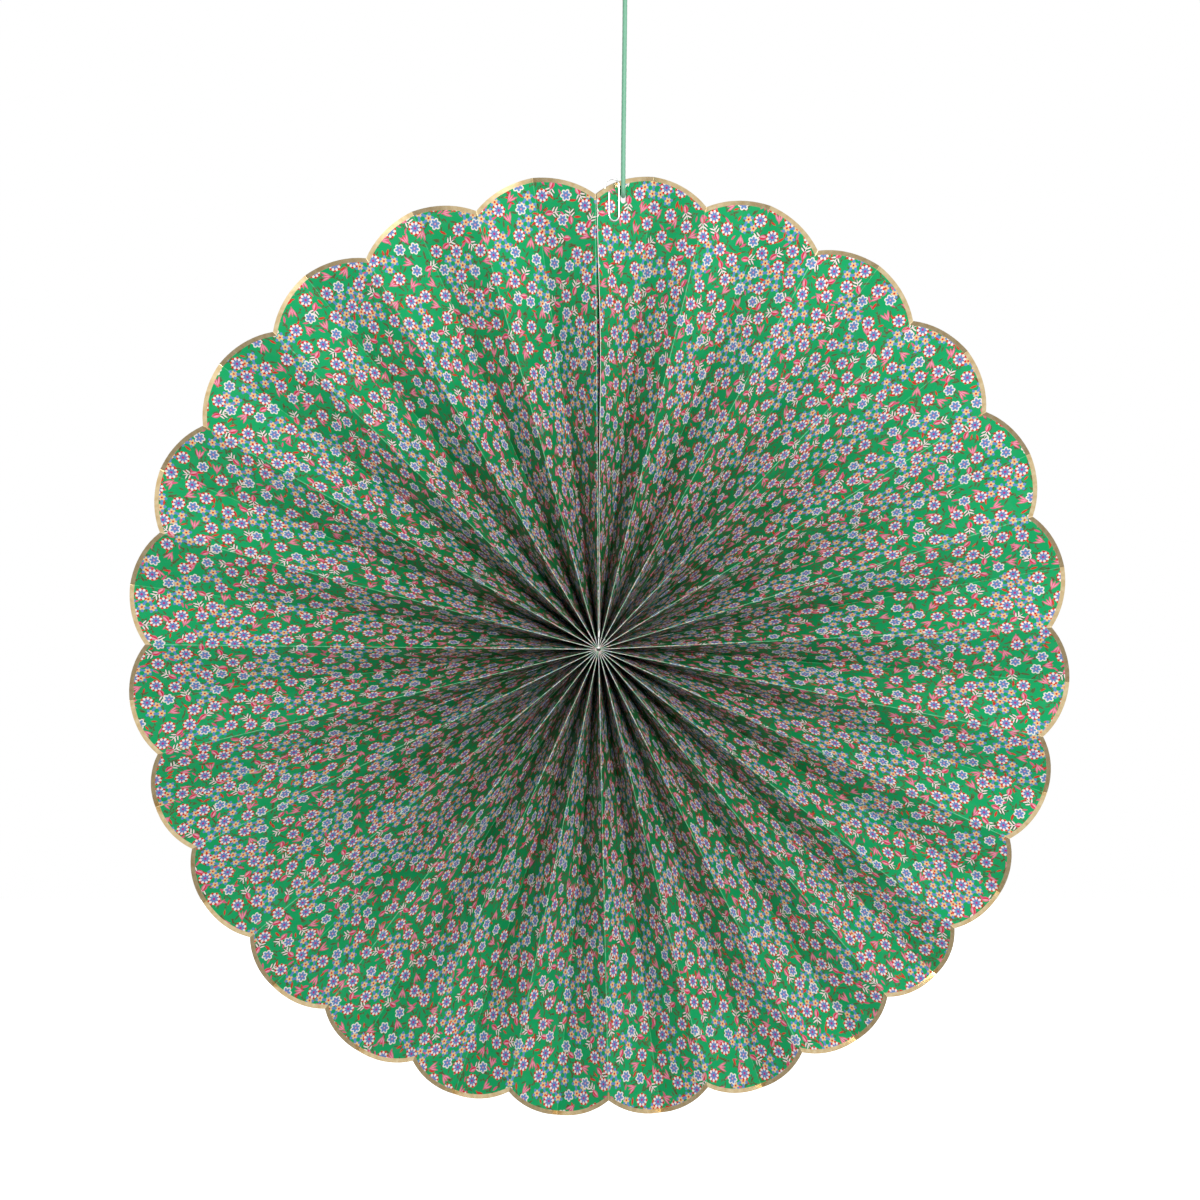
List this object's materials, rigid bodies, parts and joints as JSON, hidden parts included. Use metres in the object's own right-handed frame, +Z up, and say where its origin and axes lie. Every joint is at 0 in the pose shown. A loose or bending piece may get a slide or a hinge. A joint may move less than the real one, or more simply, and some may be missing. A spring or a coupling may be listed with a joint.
{
  "type": "paper pinwheel decoration",
  "caption": "Pleated paper disc with a scalloped rim, closed by a wire clip and hung from a looped cord.",
  "frame": {"origin": "point inside the cord's loop, under its knot, where a hook or nail bears", "axes": "+Z up, printed front towards -Y, +X to the viewer's right"},
  "size_m": [0.4492, 0.0313, 0.5639],
  "materials": {
    "printed_paper": "satin, printed on the front, with gold foil along the scalloped edge",
    "white_thread": "twisted thread",
    "clip_wire": "bright plated wire",
    "mint_cord": "matt cord"
  },
  "bodies": {
    "root": {"right_sheet": "printed_paper", "lower_sheet": "printed_paper", "left_sheet": "printed_paper", "centre_thread": "white_thread", "paper_clip": "clip_wire", "hanging_cord": "mint_cord", "cord_knot": "mint_cord"}
  },
  "joints": []
}
